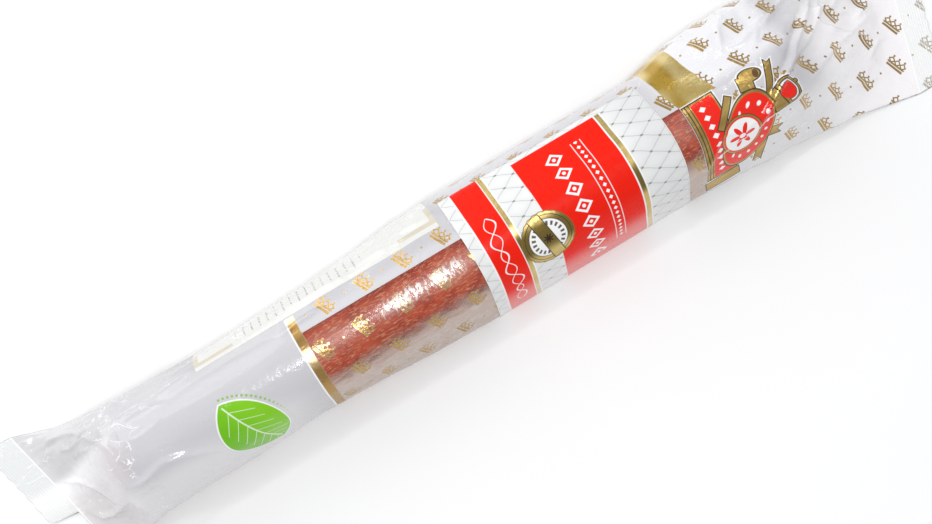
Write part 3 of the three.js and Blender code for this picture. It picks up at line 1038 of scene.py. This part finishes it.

# The pearl ink is painted darker and browner over the sausage's left shoulder:
# painted shade, with the meat showing through. Plain ink is painted lighter in
# front past the window, over the loose ends, at the back and beside the left
# crimp, and painted darker in front of the left crimp and on the back shoulder:
# painted light and shade.
shoulder_shade_and_meat = between(disc(ink_x * 0.8, ink_s, -146, 0, 0), 26, 8, 0, 0.55)
tint(shoulder_shade_and_meat * between(ink_s, 18, 8), (0.53, 0.455, 0.45))
plain_ink = (1 - inside(badge & ribbon)) * (1 - film_inks.foil) * (1 - inside(leaf - 0.9))
off_window = between(ink_x, -70, -100) | between(ink_x, 120, 150)
hanging = between(ink_s, -9, -24) | between(ink_x, -160, -185) | between(ink_x, 185, 215)
loose_end = between(ink_x, -156, -190)
loose_end = loose_end | between(ink_x, 178, 208) * between(ink_s, 24, 8, 0.25, 1)
at_back = between(abs(ink_x - 151), 38, 24) * between(ink_s, 5, 13)
at_back = at_back | between(ink_x, -112, -140) * between(ink_s, 9, 18)
at_left_seal = between(ink_x, -172, -190) * between(ink_s, 1, 9)
front_of_seal = between(ink_x, -162, -178) * between(ink_s, 5, -6)
on_shoulder = between(ink_s, 8, 14) * between(ink_x, 20, 0, 0, 0.6) * (1 - inside(panel))
for mask, colour in (
    (off_window * hanging * 0.85, (0.775, 0.765, 0.775)),
    (loose_end, (0.91, 0.885, 0.895)), (at_back * 0.6, (0.90, 0.90, 0.92)),
    (at_left_seal, (1.0, 0.985, 0.99)), (front_of_seal, (0.72, 0.69, 0.70)),
    (on_shoulder, (0.44, 0.435, 0.45)),
):
    tint(mask * plain_ink, colour)
# The crimps, where the sheet lies on itself, are tinted pale green-white, with a white line along their
# inner edge.
past_seal = crimp_left - ink_x + left_slant * (ink_s - left_pivot)
past_seal = past_seal | (ink_x - right_slant * ink_s - crimp_right)
tint(between(past_seal, -0.4, 0.4) * 0.6, (0.84, 0.87, 0.86))
tint(inside(abs(past_seal + 0.2) - 0.35) * 0.8, (0.95, 0.96, 0.96))

# Relief finer than the mesh: scuffs, ripples, cockles and short sharp creases
place = place_of(tree)
scuff_height, dullness = scuffed(place, 190)
ripples = noise(stretched(place, (0.55, 1, 1)), 420, 2, 0.5, 0.3)
taut = between(abs(ink_x + 29), 31, 15) * clear
cockle = noise(stretched(place, (1.4, 1, 1)), 620, 2, 0.55, 0.6)
cockle = cockle * clear * (0.5 + taut)
drift = noise(place, 70, 2).socket.node.outputs["Color"]
bent_place = new_node(tree, "ShaderNodeVectorMath", drift, (0.016, 0.016, 0.016), place,
                      operation="MULTIPLY_ADD").outputs[0]
bent_place = stretched(bent_place, (0.6, 1, 1), radians(-20))
facets = new_node(tree, "ShaderNodeTexVoronoi", bent_place, feature="DISTANCE_TO_EDGE")
fill(facets, Scale=85)
loose = between(ink_x, -135, -160) | between(ink_x, 122, 145) | between(ink_s, 14, 20, 0, 0.5)
patches = between(noise(place, 45, 1), 0.47, 0.60)
patches = patches | between(disc(ink_x, ink_s, 213, -12, 0), 22, 12)
on_crease = between(Field(facets.outputs["Distance"]), 0.028, 0.0)
crease_gaps = noise(place, 230, 1)
fine_creases = on_crease * patches * loose * between(crease_gaps, 0.38, 0.55)
glitter = between(noise(place, 1100, 1), 0.57, 0.66)
glitter = glitter * patches * between(crease_gaps, 0.55, 0.68) * loose
# Painted highlights: the short creases and the specks of glitter along them are painted white, as they
# catch the light.
tint((fine_creases * 0.7 | glitter) * plain_ink, (0.95, 0.95, 0.96))
film_height = scuff_height * 0.35 + ripples * 0.3 + cockle * 0.42
film_height = film_height + fine_creases * 0.2 + glitter * 0.2
film_normal = bumped(film_ink, film_height, 0.5 * MM)
fill(film_ink, Base_Color=film_inks.colour, Metallic=film_inks.foil * 0.85,
     Roughness=0.13 + dullness * 0.10 + film_inks.foil * 0.14, IOR=1.5,
     Specular_IOR_Level=0.25, Coat_Weight=0.30, Coat_Roughness=0.06)

# The bare film is see-through and glossy, and some light passes even the ink
clinging = between(noise(place, 150, 2), 0.35, 0.6)
gloss = new_node(tree, "ShaderNodeBsdfGlossy")
fill(gloss, Roughness=0.36 - taut * 0.28 + clinging * 0.06, Normal=film_normal)
# A painted shadow: just under the window's top edge the see-through film is tinted dark red, the shade
# of the ink's edge painted in.
ink_edge_shadow = between(ink_s, 1.5, 5.5) * 0.8
through_colour = mixed(ink_edge_shadow, (0.985, 0.98, 0.975), (0.78, 0.64, 0.60))
see_through = new_node(tree, "ShaderNodeBsdfTransparent", through_colour)
glance = new_node(tree, "ShaderNodeFresnel", 1.55, film_normal)
bare_film = new_node(tree, "ShaderNodeMixShader", glance.outputs[0],
                     see_through.outputs[0], gloss.outputs[0])
rays = new_node(tree, "ShaderNodeLightPath").outputs
light_through = Field(rays["Is Shadow Ray"]) * 0.4
light_through = light_through | Field(rays["Is Diffuse Ray"]) * 0.5
ink_share = (film_inks.cover | haze_and_painted_glints) * (1 - light_through)
whole_film = new_node(tree, "ShaderNodeMixShader", ink_share,
                      bare_film.outputs[0], film_ink.outputs[0])
fill(tree.nodes["Material Output"], Surface=whole_film.outputs[0])

shaped(film, crumple_tree, Crumple_height=0.55 * MM, Crumple_scale=95.0, Rib_pitch=1.25,
       Rib_depth=0.10 * MM, Table_level=0.03 * MM, Material=film_print)
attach(film, "root")
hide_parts("film_wrap")


# ----------------------------------------------------------------- The label
# Coated paper stuck round the film: it starts on the back shoulder, goes over
# the top and down the front, and ends underneath, short of the fin. Its bare
# cut edges are white.
label_gap = 0.12
label_thickness = 0.16
label_columns = 110
label_rows = 92
label_x = np.linspace(label_start + 0.1, label_end - 0.1, label_rows)


def label_skin(inset):
    """One skin of the label: y, z and distance round from the top."""
    fine = film_sections(np.full(label_rows, label_start + 50.0), inset)
    band = fine[:, samples:11 * samples + 1]
    points, run, travelled = evenly(band, label_columns)
    crest = [np.interp(0, -band[row, :6 * samples, 0], travelled[row, :6 * samples])
             for row in range(label_rows)]
    return points[..., 0], points[..., 1], np.array(crest)[:, None] - run


outer_y, outer_z, label_s = label_skin(film_inset - label_gap - label_thickness)
inner_y, inner_z, _ = label_skin(film_inset - label_gap)
skin_x = label_x[:, None] + 0 * outer_y
waviness = 0.05 * lattice_noise(skin_x / 15, label_s / 11, 41)
edge_lift = 0.10 * lattice_noise(skin_x / 9, label_s / 7, 42) + 0.10
to_edge = np.minimum(skin_x - label_start, label_end - skin_x)
edge_lift = edge_lift * (1 - smooth(to_edge, 0, 3)) * smooth(outer_z, 1.5, 6)
rise = (waviness + edge_lift) * smooth(outer_z, 1.0, 5)
out_y, out_z = outer_y - inner_y, outer_z - inner_z
out_length = np.maximum(np.hypot(out_y, out_z), 1e-6)
shift_y, shift_z = rise * out_y / out_length, rise * out_z / out_length
loop_y = np.concatenate([outer_y + shift_y, (inner_y + shift_y)[:, ::-1]], axis=1)
loop_z = np.concatenate([outer_z + shift_z, (inner_z + shift_z)[:, ::-1]], axis=1)
loop_x = np.concatenate([skin_x, skin_x], axis=1)
loop_s = np.concatenate([label_s, label_s[:, ::-1]], axis=1)
label_faces = wrapped_faces(label_rows, 2 * label_columns)
label_last = 2 * label_columns * (label_rows - 1)
for column in range(label_columns - 1):
    opposite = 2 * label_columns - 1 - column
    quad = [column, opposite, opposite - 1, column + 1]
    label_faces.append(quad)
    label_faces.append([label_last + corner for corner in quad[::-1]])
label = mesh_object("paper_label", at_place(loop_x, loop_y, loop_z), label_faces)
label_corner = corners_of(label.data)
map_print(label.data, (loop_x - label_start).ravel()[label_corner],
          loop_s.ravel()[label_corner])

label_paper, tree, paper = new_material("coated_paper")
label_u, label_v, paper_map = print_place(tree)
wobble = noise(paper_map, 140, 2) - 0.5
gold_cloud = noise(stretched(paper_map, (1, 3, 1)), 60, 2)
gold_sheen = mixed(gold_cloud, (0.45, 0.32, 0.09), (0.74, 0.60, 0.28))
# A painted dark reflection: the gold is darker in a band round the front of the label.
gold_dark_reflection = between(abs(label_v + 12), 10, 4) * 0.85
gold_sheen = mixed(gold_dark_reflection, gold_sheen, (0.16, 0.11, 0.02))
paper_white = mixed(noise(paper_map, 30, 2), (0.76, 0.76, 0.755), (0.82, 0.82, 0.815))
paper_inks = Print(paper_white)
stamp = paper_inks.ink
shade = paper_inks.tint
# Painted shade: the paper is greyer toward the label's right end, more so over the top.
shade(between(label_u, 76, 100, 0, 0.6) * between(label_v, -12, 0, 0.4, 1), (0.60, 0.60, 0.60))

# The quilt of padded lozenges, with a fine line and a knot where they meet
quilt_pitch = 7.24
quilt_lean = radians(31)
quilt_u = label_u * sin(quilt_lean)
quilt_v = label_v * cos(quilt_lean)
rising = abs(nearest_step(quilt_u + quilt_v + wobble * 0.9, quilt_pitch))
falling = abs(nearest_step(quilt_u - quilt_v + wobble * 0.9, quilt_pitch))
pillow = between(rising & falling, 0.0, 2.6)
# Painted shade: the paper is greyed along the seams, where the padding dips.
stamp((1 - pillow) * 0.16, (0.52, 0.53, 0.56))
quilt_ink = (0.20, 0.19, 0.18)
stamp(inside((rising - 0.09) & (falling - 0.09)) * 0.62, quilt_ink)
stamp(inside((rising | falling) - 0.48) * 0.85, quilt_ink)

# Two red blocks with gold lines. The narrow one carries a twining line, the
# wide one a chain of hollow lozenges and a row of small marks
first_block = strip(label_u, 6.2, 19.7)
to_block_end = label_v - 26
second_block = (abs(label_u - 58.1) - 21.6) | to_block_end
twine = (label_v * 0.42).math("SINE")
flourish = label_u - 12.8 - twine * 2.6 - (label_v * 0.15).math("SINE") * 1.4
echo = label_u - 12.8 + twine * 2.1
from_chain = abs(label_u - 53.5) * 0.8
along_chain = abs(nearest_step(label_v + 1, 8.6))
chain = (from_chain + along_chain - 3.6) | (2.25 - from_chain - along_chain)
chain_dots = disc(label_u, along_chain, 53.5, 0, 0.85)
from_marks = abs(label_u - 66)
marks = from_marks + abs(nearest_step(label_v, 3.1)) - 1.0
for shape, colour in (
    (first_block - 0.7, white),
    (strip(label_u, 19.4, 22.9), white), (strip(label_u, 20.1, 22.2), gold_sheen),
    (first_block, red), (second_block, red),
    (strip(label_u, 79.4, 83.1) | to_block_end, white),
    (strip(label_u, 80.1, 82.4) | to_block_end, gold_sheen),
    ((abs(flourish) - 0.34) | strip(label_v, -44, 8), white),
    ((abs(echo) - 0.2) | strip(label_v, -44, 8), white),
    (chain | strip(label_v, -45, 20), white), (chain_dots | strip(label_v, -45, 20), white),
    (marks | strip(label_v, -42, 19), white),
    ((abs(from_marks - 2.4) - 0.18) | strip(label_v, -42, 19), white),
):
    stamp(inside(shape), colour, foil=colour is gold_sheen)

# The medal: a scalloped gold disc with a white middle and a band across it
medal_u = 33.1
medal_v = -14.3
medal_round = disc(label_u, label_v, medal_u, medal_v, 0)
medal_turn = (label_v - medal_v).math("ARCTAN2", label_u - medal_u)
scallop = (medal_turn * 24).math("COSINE") * 0.12
strokes = bar(abs(nearest_step(medal_turn, pi / 10)) * 7.2, medal_round, 0, 7.0, 0.55, 0.95)
middle_band = abs(label_u - medal_u + (label_v - medal_v) * 0.22) - 2.8
for shape, colour in (
    (medal_round - 12.6 + scallop, (0.20, 0.13, 0.04)),
    (medal_round - 12.2 + scallop, gold_sheen),
    (abs(medal_round - 10.9) - 0.14, dark), (medal_round - 9.2, dark),
    (medal_round - 8.9, white), (strokes, (0.12, 0.10, 0.08)),
    ((middle_band - 0.4) | (medal_round - 12.0), dark),
    (middle_band | (medal_round - 11.8), gold_sheen),
    (medal_round - 1.7 - (medal_turn * 8).math("COSINE") * 0.7, dark),
):
    stamp(inside(shape), colour, foil=colour is gold_sheen)
# A painted reflection: low on the front the label turns pinkish pale, as glossy paper mirrors the table
# there.
shade(between(label_v, -30, -46, 0, 0.36), (0.86, 0.82, 0.81))
to_cut = label_u & (label_width - label_u)
stamp(inside(to_cut - 0.45), (0.93, 0.93, 0.93))

place = place_of(tree)
scuff_height, dullness = scuffed(place, 160)
fibre = noise(place, 2500, 2)
fill(paper, Base_Color=paper_inks.colour, Metallic=paper_inks.foil * 0.85,
     Roughness=0.26 + dullness * 0.15, Specular_IOR_Level=0.12)
bumped(paper, scuff_height * 0.6 + fibre * 0.12 + pillow * 0.15, 0.12 * MM)
label.data.materials.append(label_paper)
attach(label, "root")
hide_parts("label")


# ---------------------------------------------------------- The studio lights
# A bright white room with a soft lamp overhead, two wide lamps behind the pack
# and a small one at each side that puts sparkle on the film.
world = bpy.data.worlds.new("white_room")
bpy.context.scene.world = world
world.use_nodes = True
room = world.node_tree.nodes["Background"]
room.inputs["Color"].default_value = (0.97, 0.985, 1.0, 1)
room.inputs["Strength"].default_value = 0.555


def soft_lamp(name, place, size, watts, target=(0, 0, 0.02)):
    lamp = bpy.data.lights.new(name, "AREA")
    lamp.size = size
    lamp.energy = watts
    holder = bpy.data.objects.new(name, lamp)
    holder.location = place
    aim_at = Vector(target) - Vector(place)
    holder.rotation_euler = aim_at.to_track_quat("-Z", "Y").to_euler()
    bpy.context.collection.objects.link(holder)


soft_lamp("overhead_lamp", (-0.04, -0.21, 1.13), 0.26, 4.7)
soft_lamp("high_back_lamp", (-0.30, 0.95, 0.60), 0.80, 3.4)
soft_lamp("low_back_lamp", (-0.30, 1.15, 0.26), 0.50, 1.8)
soft_lamp("left_lamp", (-0.85, 0.35, 0.80), 0.16, 1.4)
soft_lamp("right_lamp", (0.55, 0.50, 0.95), 0.07, 1.3)
